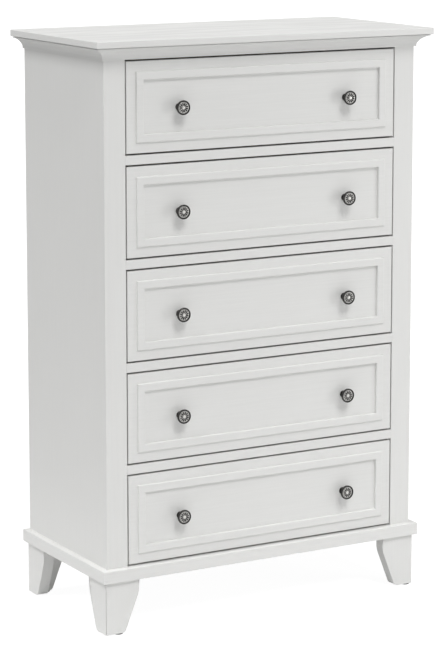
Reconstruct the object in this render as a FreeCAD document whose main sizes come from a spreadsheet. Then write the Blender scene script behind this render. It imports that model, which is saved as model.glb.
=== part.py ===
import FreeCAD, Part
import math
import os
import Sketcher

# A tall chest of five drawers, in millimetres.
# X runs across the width, the drawer fronts face -Y and Z is up.
# The origin is on the floor, under the middle of the chest.

DRAWERS = 5
KNOB_HOLLOWS = 12

SIZES = [
    ("overall_width", 800, "top panel, left to right"),
    ("overall_depth", 400, "top panel, front to back"),
    ("overall_height", 1220, "floor to top"),
    ("top_thick", 14, "top panel"),
    ("top_over_side", 30, "top panel past each side of the case"),
    ("top_over_front", 32, "top panel past the face frame"),
    ("top_over_back", 6, "top panel and plinth past the back of the case"),
    ("top_ease", 1.6, "rounding of the top panel's edges"),
    ("cornice_height", 26, "moulding under the top panel"),
    ("cornice_setback", 3.5, "moulding in from the top panel's side edges"),
    ("cornice_lip", 4, "flat foot of the moulding, out from the case"),
    ("cornice_lip_height", 4.5, "flat foot of the moulding"),
    ("cornice_step", 1.2, "soffit between the hollow and the upper fillet"),
    ("cornice_fillet", 3, "height of the upper fillet"),
    ("cove_radius", 29, "hollow of the moulding"),
    ("side_thick", 16, "side panels"),
    ("stile_width", 48, "uprights of the face frame"),
    ("frame_thick", 19, "face frame, front to back"),
    ("rail_height", 19, "rails between the drawers"),
    ("edge_ease", 0.8, "rounding of the frame and drawer edges"),
    ("back_thick", 5, "back panel"),
    ("back_rebate", 8, "rebate in the side panels for the back panel"),
    ("bottom_thick", 12, "panel that closes the case below the lowest drawer"),
    ("plinth_height", 26, "plinth boards"),
    ("plinth_over", 14, "plinth past the case, front and sides"),
    ("plinth_board", 60, "width of the plinth boards, laid flat"),
    ("plinth_ease", 2, "rounding of the plinth's outer top edge"),
    ("foot_height", 114, "floor to plinth, glide included"),
    ("foot_inset", 8, "foot in from the plinth's edge"),
    ("foot_thick", 25, "boards of a foot"),
    ("foot_top_width", 77, "foot at the plinth"),
    ("foot_bottom_width", 44, "foot at the floor"),
    ("foot_shoulder", 28, "plinth down to where the taper would meet the upright edge"),
    ("foot_bend", 60, "radius between the upright edge and the taper"),
    ("foot_toe", 9, "radius at the inner bottom corner"),
    ("foot_mitre_gap", 0.35, "each board back from the mitre plane"),
    ("glide_height", 3, "glides under the feet"),
    ("glide_diameter", 19, "glides under the feet"),
    ("glide_shift", 12, "glides off the middle of the foot, towards +X"),
    ("reveal", 2.8, "gap at each side of a drawer front"),
    ("reveal_high", 3.8, "gap above and below a drawer front"),
    ("front_thick", 18, "drawer fronts, without the raised band"),
    ("band_margin", 21, "edge of a drawer front to its raised band"),
    ("band_width", 17, "raised band"),
    ("band_rise", 4, "raised band above the margin"),
    ("band_ease", 2.4, "rounding of the raised band"),
    ("panel_recess", 2, "centre panel below the margin"),
    ("slide_room", 12.7, "room for a runner at each side of a drawer box"),
    ("box_thick", 12, "sides and back of a drawer box"),
    ("box_lift", 18, "opening's lower edge up to the drawer box"),
    ("box_headroom", 24.8, "drawer box up to the opening's upper edge"),
    ("box_rear_room", 12, "drawer box to the back panel"),
    ("groove_depth", 5, "groove that holds a drawer bottom"),
    ("groove_lift", 10, "lower edge of a drawer box up to the groove"),
    ("tray_thick", 4, "drawer bottoms"),
    ("runner_length", 300, "both members of a runner"),
    ("channel_height", 35, "fixed member of a runner"),
    ("runner_wall", 1.2, "steel of both members"),
    ("runner_play", 0.4, "running clearance above and below the moving member"),
    ("runner_side_play", 0.9, "members to the face that they pass"),
    ("cleat_height", 45, "blocks that carry the fixed members"),
    ("knob_spacing", 398, "centre to centre on one drawer"),
    ("knob_drop", 4, "knobs below the middle of a drawer front"),
    ("knob_diameter", 30, "head of a knob"),
    ("knob_reach", 22, "knob, out from the centre panel"),
    ("knob_flange", 15, "diameter of the foot of a knob"),
    ("knob_flange_thick", 3, "foot of a knob"),
    ("knob_neck", 10, "diameter of the neck of a knob"),
    ("knob_head_thick", 8, "head of a knob, rim to back"),
    ("knob_rim", 2.2, "width of the rim round the face of a knob"),
    ("knob_dish", 1.4, "depth of the ring of hollows in the face"),
    ("knob_button", 8, "diameter of the button in the middle of the face"),
    ("knob_ease", 1, "rounding of the rim"),
    ("petal_diameter", 3.6, "hollows in the face of a knob"),
    ("screw_diameter", 4, "screw that holds a knob"),
    ("screw_play", 0.3, "screw to the hole in the drawer front, all round"),
    ("screw_head", 8, "diameter of the screw's head"),
    ("screw_head_thick", 2.5, "screw's head"),
    ("screw_bite", 10, "screw inside the knob"),
    ("cut_margin", 1, "how far a cutting shape runs past what it cuts"),
]

doc = FreeCAD.newDocument("tall_chest")
sheet = doc.addObject("Spreadsheet::Sheet", "dims")
for row, (alias, size, meaning) in enumerate(SIZES, start=1):
    sheet.set(f"A{row}", alias)
    sheet.set(f"B{row}", str(size))
    sheet.set(f"C{row}", meaning)
    sheet.setAlias(f"B{row}", alias)
doc.recompute()

# Places that several pieces share, as expressions on the sheet.
case_half = "(dims.overall_width / 2 - dims.top_over_side)"
case_front = "(dims.top_over_front - dims.overall_depth / 2)"
case_back = "(dims.overall_depth / 2 - dims.top_over_back)"
frame_back = f"({case_front} + dims.frame_thick)"
rear_edge = "(dims.overall_depth / 2)"
case_base = "(dims.foot_height + dims.plinth_height)"
slab_base = "(dims.overall_height - dims.top_thick)"
bays_top = f"({slab_base} - dims.cornice_height)"
case_height = f"({slab_base} - {case_base})"
opening_half = f"({case_half} - dims.stile_width)"
opening_height = (
    f"(({bays_top} - {case_base} - {DRAWERS - 1} * dims.rail_height) / {DRAWERS})"
)
cornice_reach = "(dims.top_over_side - dims.cornice_setback)"
side_inner = f"({case_half} - dims.side_thick)"
plinth_half = f"({case_half} + dims.plinth_over)"
plinth_front_edge = f"({case_front} - dims.plinth_over)"
foot_half = f"({plinth_half} - dims.foot_inset)"
foot_front_edge = f"({plinth_front_edge} + dims.foot_inset)"
foot_rear_edge = f"({rear_edge} - dims.foot_inset)"
front_width = f"(2 * {opening_half} - 2 * dims.reveal)"
front_height = f"({opening_height} - 2 * dims.reveal_high)"
front_back = f"({case_front} + dims.front_thick)"
box_half = f"({opening_half} - dims.slide_room)"
box_inner_half = f"({box_half} - dims.box_thick)"
box_height = f"({opening_height} - dims.box_lift - dims.box_headroom)"
box_rear = f"({case_back} - dims.back_thick - dims.box_rear_room)"
knob_seat = f"({case_front} + dims.panel_recess)"

subparts = []


def value(expression):
    """The number that an expression on the sheet gives now."""
    return float(sheet.evalExpression(expression))


def keep(piece, label):
    """Names a finished sub-part and puts it on the list to be written."""
    piece.Label = label
    subparts.append(piece)
    return piece


def place(piece, x="0", y="0", z="0", turn=0):
    """Puts a piece at x, y, z, turned by an angle about the vertical."""
    upright = FreeCAD.Vector(0, 0, 1)
    piece.Placement = FreeCAD.Placement(FreeCAD.Vector(), FreeCAD.Rotation(upright, turn))
    for axis, expression in zip("xyz", (x, y, z)):
        piece.setExpression(f"Placement.Base.{axis}", expression)
    return piece


def board(name, corner, size):
    """A square-edged board with its low corner and its size as expressions."""
    box = doc.addObject("Part::Box", name)
    for side, expression in zip(("Length", "Width", "Height"), size):
        box.setExpression(side, expression)
    return place(box, *corner)


def group(label, pieces):
    """One sub-part of several separate solids."""
    compound = doc.addObject("Part::Compound", label)
    compound.Links = pieces
    return keep(compound, label)


def block(body, kind, corner, size):
    """A box that a body gains or loses, in the body's own frame."""
    solid = body.newObject(f"PartDesign::{kind}", body.Name + "_" + kind)
    for side, expression in zip(("Length", "Width", "Height"), size):
        solid.setExpression(side, expression)
    for axis, expression in zip("xyz", corner):
        solid.setExpression(f"Placement.Base.{axis}", expression)
    doc.recompute()
    return solid


def at(point, where):
    """Whether a point has the coordinates in where, such as {"x": 0}, to 0.01 mm."""
    return all(abs(getattr(point, axis) - goal) < 0.01 for axis, goal in where.items())


def ease(body, feature, radius, **where):
    """Rounds the edges of a feature whose end points have the coordinates given."""
    names = []
    for number, edge in enumerate(feature.Shape.Edges, start=1):
        if all(at(vertex.Point, where) for vertex in edge.Vertexes):
            names.append(f"Edge{number}")
    fillet = body.newObject("PartDesign::Fillet", feature.Name + "_ease")
    fillet.Base = (feature, names)
    fillet.setExpression("Radius", radius)
    doc.recompute()
    return fillet


def arc_between(start, end, radius, side):
    """The shorter arc from start to end, with its centre to the left (1) or right (-1)."""
    chord = end - start
    across = FreeCAD.Vector(-chord.y, chord.x, 0).normalize()
    height = math.sqrt(radius ** 2 - (chord.Length / 2) ** 2)
    centre = (start + end) / 2 + across * (side * height)
    first, last = (start, end) if side > 0 else (end, start)
    angles = [math.atan2(point.y - centre.y, point.x - centre.x) for point in (first, last)]
    circle = Part.Circle(centre, FreeCAD.Vector(0, 0, 1), radius)
    return Part.ArcOfCircle(circle, *angles)


def sketch_on(body, name, plane):
    """An empty sketch on one of a body's own origin planes."""
    sketch = body.newObject("Sketcher::SketchObject", f"{body.Name}_{name}")
    features = body.Origin.OriginFeatures
    sketch.AttachmentSupport = [next(one for one in features if one.Role == plane), ""]
    sketch.MapMode = "FlatFace"
    return sketch


def add_outline(sketch, points, arcs=None):
    """Adds a closed outline through points, each a pair of expressions.

    arcs maps the number of a point to the radius and side of the arc that leaves it.
    """
    arcs = arcs or {}
    corners = [FreeCAD.Vector(value(x), value(y), 0) for x, y in points]
    ends = corners[1:] + corners[:1]
    base = sketch.GeometryCount
    joints = []
    for number, (start, end) in enumerate(zip(corners, ends)):
        if number in arcs:
            radius, side = arcs[number]
            index = sketch.addGeometry(arc_between(start, end, value(radius), side))
            joints.append((index, 1, 2) if side > 0 else (index, 2, 1))
        else:
            index = sketch.addGeometry(Part.LineSegment(start, end))
            joints.append((index, 1, 2))
    for here, following in zip(joints, joints[1:] + joints[:1]):
        sketch.addConstraint(
            Sketcher.Constraint("Coincident", here[0], here[2], following[0], following[1])
        )
    for number, ((index, first, _), corner) in enumerate(zip(joints, corners)):
        for kind, length, expression in (
            ("DistanceX", corner.x, points[number][0]),
            ("DistanceY", corner.y, points[number][1]),
        ):
            made = sketch.addConstraint(
                Sketcher.Constraint(kind, -1, 1, index, first, length)
            )
            label = f"{kind}_{base + number}"
            sketch.renameConstraint(made, label)
            sketch.setExpression(f"Constraints.{label}", expression)
        if number in arcs:
            radius = arcs[number][0]
            made = sketch.addConstraint(Sketcher.Constraint("Radius", index, value(radius)))
            label = f"radius_{base + number}"
            sketch.renameConstraint(made, label)
            sketch.setExpression(f"Constraints.{label}", radius)


def add_circle(sketch, x, y, diameter):
    """Adds a circle with its centre and diameter as expressions."""
    centre = FreeCAD.Vector(value(x), value(y), 0)
    index = sketch.addGeometry(
        Part.Circle(centre, FreeCAD.Vector(0, 0, 1), value(diameter) / 2)
    )
    for kind, length, expression in (
        ("DistanceX", centre.x, x),
        ("DistanceY", centre.y, y),
    ):
        made = sketch.addConstraint(Sketcher.Constraint(kind, -1, 1, index, 3, length))
        sketch.renameConstraint(made, f"{kind}_{index}")
        sketch.setExpression(f"Constraints.{kind}_{index}", expression)
    made = sketch.addConstraint(Sketcher.Constraint("Diameter", index, value(diameter)))
    sketch.renameConstraint(made, f"diameter_{index}")
    sketch.setExpression(f"Constraints.diameter_{index}", diameter)


def rectangle(x0, y0, x1, y1):
    """Four corners, counter-clockwise."""
    return [(x0, y0), (x1, y0), (x1, y1), (x0, y1)]


def pad(body, sketch, length, reverse=False):
    """Adds material along the sketch's normal, or against it when reversed."""
    feature = body.newObject("PartDesign::Pad", sketch.Name + "_pad")
    feature.Profile = sketch
    feature.setExpression("Length", length)
    feature.Reversed = reverse
    doc.recompute()
    return feature


def cut(body, sketch, length, reverse=False):
    """Takes material away against the sketch's normal, or along it when reversed."""
    before = body.Shape.Volume
    feature = body.newObject("PartDesign::Pocket", sketch.Name + "_cut")
    feature.Profile = sketch
    feature.setExpression("Length", length)
    feature.Reversed = reverse
    doc.recompute()
    if not body.Shape.Volume < before:
        raise RuntimeError(f"{feature.Name} takes nothing away")
    return feature


def mitred_length(name, outline, arcs, reach, height, length, mitres):
    """A profile run along X, with its outer side at y = -reach and 45 degree ends.

    mitres says whether the low and the high end are mitred.
    """
    body = doc.addObject("PartDesign::Body", name)
    profile = sketch_on(body, "profile", "YZ_Plane")
    add_outline(profile, outline, arcs)
    run = pad(body, profile, length)
    spare = "dims.cut_margin"
    tips = {
        "low": [
            (f"-{spare}", f"-{reach} - {spare}"),
            (f"{reach} + {spare}", spare),
            (f"-{spare}", spare),
        ],
        "high": [
            (f"{length} + {spare}", f"-{reach} - {spare}"),
            (f"{length} + {spare}", spare),
            (f"{length} - {reach} - {spare}", spare),
        ],
    }
    for end, mitred in zip(("low", "high"), mitres):
        if mitred:
            tip = sketch_on(body, f"{end}_mitre", "XY_Plane")
            add_outline(tip, tips[end])
            run = cut(body, tip, f"{height} + {spare}", reverse=True)
    return body, run


def make_top():
    """The top panel, with every edge eased."""
    body = doc.addObject("PartDesign::Body", "top_panel")
    size = ("dims.overall_width", "dims.overall_depth", "dims.top_thick")
    slab = block(body, "AdditiveBox", ("0", "0", "0"), size)
    ease(body, slab, "dims.top_ease")
    place(body, "-dims.overall_width / 2", "-dims.overall_depth / 2", slab_base)
    keep(body, "top_panel")


def make_cornice():
    """The hollow moulding under the top: a front length and two side returns."""
    reach = cornice_reach
    hollow_top = "(dims.cornice_height - dims.cornice_fillet)"
    profile = [
        ("0", "0"),
        ("0", "dims.cornice_height"),
        (f"-{reach}", "dims.cornice_height"),
        (f"-{reach}", hollow_top),
        (f"-{reach} + dims.cornice_step", hollow_top),
        ("-dims.cornice_lip", "dims.cornice_lip_height"),
        ("-dims.cornice_lip", "0"),
    ]
    hollow = {4: ("dims.cove_radius", 1)}
    long_run = f"(2 * {case_half} + 2 * {reach})"
    return_run = f"({case_back} - {case_front} + {reach})"
    height = "dims.cornice_height"
    body, _ = mitred_length(
        "cornice_front", profile, hollow, reach, height, long_run, (True, True)
    )
    place(body, f"-{case_half} - {reach}", case_front, bays_top)
    keep(body, "cornice_front")
    body, _ = mitred_length(
        "cornice_left", profile, hollow, reach, height, return_run, (False, True)
    )
    place(body, f"-{case_half}", case_back, bays_top, -90)
    keep(body, "cornice_left")
    body, _ = mitred_length(
        "cornice_right", profile, hollow, reach, height, return_run, (True, False)
    )
    place(body, case_half, f"{case_front} - {reach}", bays_top, 90)
    keep(body, "cornice_right")


def make_sides():
    """The side panels, each with a rebate for the back panel."""
    depth = f"({case_back} - {frame_back})"
    rebates = {"left": "dims.side_thick - dims.back_rebate", "right": "0"}
    corners = {"left": f"-{case_half}", "right": side_inner}
    for hand, rebate in rebates.items():
        name = f"side_panel_{hand}"
        body = doc.addObject("PartDesign::Body", name)
        block(body, "AdditiveBox", ("0", "0", "0"), ("dims.side_thick", depth, case_height))
        corner = (rebate, f"{depth} - dims.back_thick", "0")
        size = ("dims.back_rebate", "dims.back_thick", case_height)
        block(body, "SubtractiveBox", corner, size)
        place(body, corners[hand], frame_back, case_base)
        keep(body, name)


def make_face_frame():
    """Two stiles, the rails between the drawers and the rail behind the cornice."""
    size = ("dims.stile_width", "dims.frame_thick", case_height)
    for hand, corner in (("left", f"-{case_half}"), ("right", opening_half)):
        name = f"stile_{hand}"
        body = doc.addObject("PartDesign::Body", name)
        upright = block(body, "AdditiveBox", ("0", "0", "0"), size)
        inner = value("dims.stile_width") if hand == "left" else 0
        ease(body, upright, "dims.edge_ease", x=inner, y=0)
        place(body, corner, case_front, case_base)
        keep(body, name)
    rails = []
    for number in range(1, DRAWERS):
        body = doc.addObject("PartDesign::Body", f"rail_{number}")
        size = (f"2 * {opening_half}", "dims.frame_thick", "dims.rail_height")
        bar = block(body, "AdditiveBox", ("0", "0", "0"), size)
        bar = ease(body, bar, "dims.edge_ease", y=0, z=0)
        ease(body, bar, "dims.edge_ease", y=0, z=value("dims.rail_height"))
        drop = f"{number} * ({opening_height} + dims.rail_height)"
        place(body, f"-{opening_half}", case_front, f"{bays_top} - {drop}")
        rails.append(body)
    group("drawer_rails", rails)
    size = (f"2 * {opening_half}", "dims.frame_thick", "dims.cornice_height")
    top_rail = board("top_rail", (f"-{opening_half}", case_front, bays_top), size)
    keep(top_rail, "top_rail")


def make_case_panels():
    """The back panel in its rebates and the panel under the lowest drawer."""
    half = f"({side_inner} + dims.back_rebate)"
    corner = (f"-{half}", f"{case_back} - dims.back_thick", case_base)
    keep(board("back_panel", corner, (f"2 * {half}", "dims.back_thick", case_height)), "back_panel")
    half = f"({plinth_half} - dims.plinth_board)"
    low_y = f"({plinth_front_edge} + dims.plinth_board)"
    corner = (f"-{half}", low_y, f"{case_base} - dims.bottom_thick")
    depth = f"{rear_edge} - dims.plinth_board - {low_y}"
    keep(board("bottom_panel", corner, (f"2 * {half}", depth, "dims.bottom_thick")), "bottom_panel")


def make_plinth():
    """Four flat boards, mitred into a frame that the case stands on."""
    reach = "dims.plinth_board"
    height = "dims.plinth_height"
    profile = [("0", "0"), ("0", height), (f"-{reach}", height), (f"-{reach}", "0")]
    wide = f"(2 * {plinth_half})"
    deep = f"({rear_edge} - {plinth_front_edge})"
    inner_front = f"{plinth_front_edge} + {reach}"
    places = {
        "front": (wide, (f"-{plinth_half}", inner_front, 0)),
        "right": (deep, (f"{plinth_half} - {reach}", plinth_front_edge, 90)),
        "back": (wide, (plinth_half, f"{rear_edge} - {reach}", 180)),
        "left": (deep, (f"-{plinth_half} + {reach}", rear_edge, -90)),
    }
    for side, (length, (x, y, turn)) in places.items():
        body, run = mitred_length(
            f"plinth_{side}", profile, None, reach, height, length, (True, True)
        )
        ease(body, run, "dims.plinth_ease", y=-value(reach), z=value(height))
        place(body, x, y, "dims.foot_height", turn)
        keep(body, f"plinth_{side}")


def foot_board(name, swap):
    """One board of a foot: an upright outer edge, a tapered inner edge, and a mitre.

    swap turns the board along X into its mirror image along Y.
    """
    body = doc.addObject("PartDesign::Body", name)
    tall = "(dims.foot_height - dims.glide_height)"
    profile = [
        ("0", "0"),
        ("dims.foot_bottom_width", "0"),
        ("dims.foot_top_width", f"{tall} - dims.foot_shoulder"),
        ("dims.foot_top_width", tall),
        ("0", tall),
    ]
    shape = sketch_on(body, "profile", "YZ_Plane" if swap else "XZ_Plane")
    add_outline(shape, profile)
    raw = pad(body, shape, "dims.foot_thick", reverse=not swap)
    along = "y" if swap else "x"
    bend_z = value(f"{tall} - dims.foot_shoulder")
    bend = {along: value("dims.foot_top_width"), "z": bend_z}
    toe = {along: value("dims.foot_bottom_width"), "z": 0}
    bent = ease(body, raw, "dims.foot_bend", **bend)
    ease(body, bent, "dims.foot_toe", **toe)
    spare = "dims.cut_margin"
    gap = "dims.foot_mitre_gap"
    mitre = [
        (f"-{spare}", f"-{spare}"),
        (f"{gap} - {spare}", f"-{spare}"),
        (f"dims.foot_thick + {spare} + {gap}", f"dims.foot_thick + {spare}"),
        (f"-{spare}", f"dims.foot_thick + {spare}"),
    ]
    tip = sketch_on(body, "mitre", "XY_Plane")
    add_outline(tip, [(y, x) for x, y in reversed(mitre)] if swap else mitre)
    cut(body, tip, f"{tall} + {spare}", reverse=True)
    return body


def make_feet():
    """Four bracket feet of two mitred boards each, and a glide under each."""
    corners = {
        "front_left": (f"-{foot_half}", foot_front_edge, 0),
        "front_right": (foot_half, foot_front_edge, 90),
        "back_right": (foot_half, foot_rear_edge, 180),
        "back_left": (f"-{foot_half}", foot_rear_edge, 270),
    }
    glides = []
    for name, (x, y, turn) in corners.items():
        boards = []
        for arm, swap in (("a", False), ("b", True)):
            body = foot_board(f"foot_{name}_board_{arm}", swap)
            boards.append(place(body, x, y, "dims.glide_height", turn))
        group(f"foot_{name}", boards)
        glide = doc.addObject("Part::Cylinder", f"glide_{name}")
        glide.setExpression("Radius", "dims.glide_diameter / 2")
        glide.setExpression("Height", "dims.glide_height")
        inward_x = "+" if "left" in name else "-"
        inward_y = "+" if "front" in name else "-"
        middle_x = f"{x} {inward_x} dims.foot_bottom_width / 2 + dims.glide_shift"
        place(glide, middle_x, f"{y} {inward_y} dims.foot_thick / 2", "0")
        glides.append(glide)
    group("foot_glides", glides)


def runner_height(lower_edge):
    """Middle of the runners of the drawer whose opening starts at lower_edge."""
    return f"({lower_edge} + dims.box_lift + {box_height} / 2)"


def opening_bottom(number):
    """Lower edge of a drawer's opening; drawer 1 is the highest."""
    rails_above = f"{number - 1} * dims.rail_height"
    return f"({bays_top} - {number} * {opening_height} - {rails_above})"


def runner_member(name, web_x, tip_x, middle, height):
    """A steel channel along Y with its web at web_x and its flanges reaching to tip_x."""
    body = doc.addObject("PartDesign::Body", name)
    toward = 1 if value(tip_x) > value(web_x) else -1
    wall = f"{toward} * dims.runner_wall"
    section = [
        ("0", "0"),
        (f"{tip_x} - {web_x}", "0"),
        (f"{tip_x} - {web_x}", "dims.runner_wall"),
        (wall, "dims.runner_wall"),
        (wall, f"{height} - dims.runner_wall"),
        (f"{tip_x} - {web_x}", f"{height} - dims.runner_wall"),
        (f"{tip_x} - {web_x}", height),
        ("0", height),
    ]
    shape = sketch_on(body, "section", "XZ_Plane")
    add_outline(shape, section)
    pad(body, shape, "dims.runner_length", reverse=True)
    return place(body, web_x, frame_back, f"{middle} - {height} / 2")


def make_fixed_runners():
    """The blocks and the fixed runner members, a pair for each drawer."""
    cleats = []
    channels = []
    deep = f"({case_back} - dims.back_thick - {frame_back})"
    for number in range(1, DRAWERS + 1):
        middle = runner_height(opening_bottom(number))
        for hand, sign in (("left", "-"), ("right", "")):
            low_x = f"-{side_inner}" if hand == "left" else opening_half
            corner = (low_x, frame_back, f"{middle} - dims.cleat_height / 2")
            size = (f"{side_inner} - {opening_half}", deep, "dims.cleat_height")
            cleats.append(board(f"cleat_{number}_{hand}", corner, size))
            web = f"({sign}{opening_half})"
            tip = f"({sign}({box_half} + dims.runner_side_play))"
            name = f"channel_{number}_{hand}"
            channels.append(runner_member(name, web, tip, middle, "dims.channel_height"))
    group("runner_cleats", cleats)
    group("runner_channels", channels)


def make_drawer_front(number, low_z):
    """A drawer front: a flat margin, a raised band and a centre panel set back."""
    name = f"drawer_{number}_front"
    body = doc.addObject("PartDesign::Body", name)
    size = (front_width, "dims.front_thick", front_height)
    slab = block(body, "AdditiveBox", ("0", "0", "0"), size)
    ease(body, slab, "dims.edge_ease", y=0)
    margin = "dims.band_margin"
    inner = "(dims.band_margin + dims.band_width)"
    outside = rectangle(margin, margin, f"{front_width} - {margin}", f"{front_height} - {margin}")
    inside = rectangle(inner, inner, f"{front_width} - {inner}", f"{front_height} - {inner}")
    band = sketch_on(body, "band", "XZ_Plane")
    add_outline(band, outside)
    add_outline(band, inside)
    pad(body, band, "dims.band_rise")
    recess = sketch_on(body, "recess", "XZ_Plane")
    add_outline(recess, inside)
    sunk = cut(body, recess, "dims.panel_recess")
    ease(body, sunk, "dims.band_ease", y=-value("dims.band_rise"))
    holes = sketch_on(body, "screw_holes", "XZ_Plane")
    for sign in ("-", "+"):
        across = f"{front_width} / 2 {sign} dims.knob_spacing / 2"
        bore = "dims.screw_diameter + 2 * dims.screw_play"
        add_circle(holes, across, f"{front_height} / 2 - dims.knob_drop", bore)
    cut(body, holes, "dims.front_thick + dims.cut_margin")
    groove_z = "dims.box_lift - dims.reveal_high + dims.groove_lift"
    corner = (f"{front_width} / 2 - {box_inner_half}", "dims.front_thick - dims.groove_depth", groove_z)
    size = (f"2 * {box_inner_half}", "dims.groove_depth", "dims.tray_thick")
    block(body, "SubtractiveBox", corner, size)
    place(body, f"-{front_width} / 2", case_front, f"{low_z} + dims.reveal_high")
    keep(body, name)


def make_drawer_box(number, low_z):
    """The two sides, the back and the bottom behind a drawer front."""
    box_z = f"({low_z} + dims.box_lift)"
    deep = f"({box_rear} - {front_back})"
    for hand in ("left", "right"):
        name = f"drawer_{number}_side_{hand}"
        body = doc.addObject("PartDesign::Body", name)
        block(body, "AdditiveBox", ("0", "0", "0"), ("dims.box_thick", deep, box_height))
        groove_x = "dims.box_thick - dims.groove_depth" if hand == "left" else "0"
        size = ("dims.groove_depth", deep, "dims.tray_thick")
        block(body, "SubtractiveBox", (groove_x, "0", "dims.groove_lift"), size)
        place(body, f"-{box_half}" if hand == "left" else box_inner_half, front_back, box_z)
        keep(body, name)
    name = f"drawer_{number}_back"
    body = doc.addObject("PartDesign::Body", name)
    size = (f"2 * {box_inner_half}", "dims.box_thick", box_height)
    block(body, "AdditiveBox", ("0", "0", "0"), size)
    size = (f"2 * {box_inner_half}", "dims.groove_depth", "dims.tray_thick")
    block(body, "SubtractiveBox", ("0", "0", "dims.groove_lift"), size)
    place(body, f"-{box_inner_half}", f"{box_rear} - dims.box_thick", box_z)
    keep(body, name)
    name = f"drawer_{number}_bottom"
    body = doc.addObject("PartDesign::Body", name)
    tray_half = f"({box_inner_half} + dims.groove_depth)"
    tray_deep = f"({deep} - dims.box_thick + 2 * dims.groove_depth)"
    block(body, "AdditiveBox", ("0", "0", "0"), (f"2 * {tray_half}", tray_deep, "dims.tray_thick"))
    for corner_x in ("0", f"2 * {tray_half} - dims.groove_depth"):
        size = ("dims.groove_depth", "dims.groove_depth", "dims.tray_thick")
        block(body, "SubtractiveBox", (corner_x, "0", "0"), size)
    low_y = f"{front_back} - dims.groove_depth"
    place(body, f"-{tray_half}", low_y, f"{box_z} + dims.groove_lift")
    keep(body, name)


def make_knob(name):
    """A turned knob on the Y axis, with a ring of hollows round a button on its face."""
    body = doc.addObject("PartDesign::Body", name)
    rim_inner = "(dims.knob_diameter / 2 - dims.knob_rim)"
    head_back = "(dims.knob_reach - dims.knob_head_thick)"
    face_floor = "(dims.knob_reach - dims.knob_dish)"
    profile = [
        ("-dims.screw_bite", "0"),
        (f"-{face_floor} - dims.knob_dish / 2", "0"),
        (f"-{face_floor} - dims.knob_dish / 2", "dims.knob_button / 2"),
        (f"-{face_floor}", "dims.knob_button / 2"),
        (f"-{face_floor}", rim_inner),
        ("-dims.knob_reach", rim_inner),
        ("-dims.knob_reach", "dims.knob_diameter / 2 - dims.knob_ease"),
        ("-dims.knob_reach + dims.knob_ease", "dims.knob_diameter / 2"),
        (f"-{head_back} - dims.knob_head_thick / 2", "dims.knob_diameter / 2"),
        (f"-{head_back}", "dims.knob_neck / 2"),
        ("-dims.knob_flange_thick", "dims.knob_neck / 2"),
        ("-dims.knob_flange_thick + dims.knob_ease", "dims.knob_flange / 2"),
        ("0", "dims.knob_flange / 2"),
        ("0", "dims.screw_diameter / 2"),
        ("-dims.screw_bite", "dims.screw_diameter / 2"),
    ]
    half = sketch_on(body, "half_section", "YZ_Plane")
    add_outline(half, profile)
    turned = body.newObject("PartDesign::Revolution", f"{name}_turned")
    turned.Profile = half
    turned.ReferenceAxis = (half, ["H_Axis"])
    turned.Angle = 360
    doc.recompute()
    hollow = body.newObject("PartDesign::SubtractiveSphere", f"{name}_hollow")
    hollow.setExpression("Radius", "dims.petal_diameter / 2")
    ring = f"(({rim_inner} + dims.knob_button / 2) / 2)"
    hollow.setExpression("Placement.Base.y", f"-{face_floor}")
    hollow.setExpression("Placement.Base.z", ring)
    doc.recompute()
    petals = body.newObject("PartDesign::PolarPattern", f"{name}_petals")
    petals.Originals = [hollow]
    petals.Axis = (half, ["H_Axis"])
    petals.Angle = 360
    petals.Occurrences = KNOB_HOLLOWS
    body.Tip = petals
    doc.recompute()
    return body


def make_screw(name):
    """A knob screw on the Y axis, its head inside the drawer."""
    body = doc.addObject("PartDesign::Body", name)
    shank_end = "dims.screw_bite"
    head_y = f"({front_back} - {knob_seat})"
    profile = [
        (f"-{shank_end}", "0"),
        (f"{head_y} + dims.screw_head_thick", "0"),
        (f"{head_y} + dims.screw_head_thick", "dims.screw_head / 2"),
        (head_y, "dims.screw_head / 2"),
        (head_y, "dims.screw_diameter / 2"),
        (f"-{shank_end}", "dims.screw_diameter / 2"),
    ]
    half = sketch_on(body, "half_section", "YZ_Plane")
    add_outline(half, profile)
    turned = body.newObject("PartDesign::Revolution", f"{name}_turned")
    turned.Profile = half
    turned.ReferenceAxis = (half, ["H_Axis"])
    turned.Angle = 360
    doc.recompute()
    return body


def make_knobs(number, low_z):
    """The two knobs of a drawer and the screws that hold them."""
    pieces = []
    for hand, sign in (("left", "-"), ("right", "")):
        height = f"{low_z} + {opening_height} / 2 - dims.knob_drop"
        for piece in (
            make_knob(f"knob_{number}_{hand}"),
            make_screw(f"knob_screw_{number}_{hand}"),
        ):
            pieces.append(place(piece, f"{sign}dims.knob_spacing / 2", knob_seat, height))
    group(f"drawer_{number}_knobs", pieces)


def make_moving_runners(number, low_z):
    """The runner members on a drawer box, which ride inside the fixed ones."""
    inside = "(dims.channel_height - 2 * dims.runner_wall - 2 * dims.runner_play)"
    middle = runner_height(low_z)
    members = []
    for hand, sign in (("left", "-"), ("right", "")):
        web = f"({sign}{box_half})"
        tip = f"({sign}({opening_half} - dims.runner_wall - dims.runner_side_play))"
        name = f"slide_{number}_{hand}"
        members.append(runner_member(name, web, tip, middle, inside))
    group(f"drawer_{number}_runners", members)


make_top()
make_cornice()
make_sides()
make_face_frame()
make_case_panels()
make_plinth()
make_feet()
make_fixed_runners()
for drawer in range(1, DRAWERS + 1):
    lower_edge = opening_bottom(drawer)
    make_drawer_front(drawer, lower_edge)
    make_drawer_box(drawer, lower_edge)
    make_knobs(drawer, lower_edge)
    make_moving_runners(drawer, lower_edge)
doc.recompute()

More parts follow.
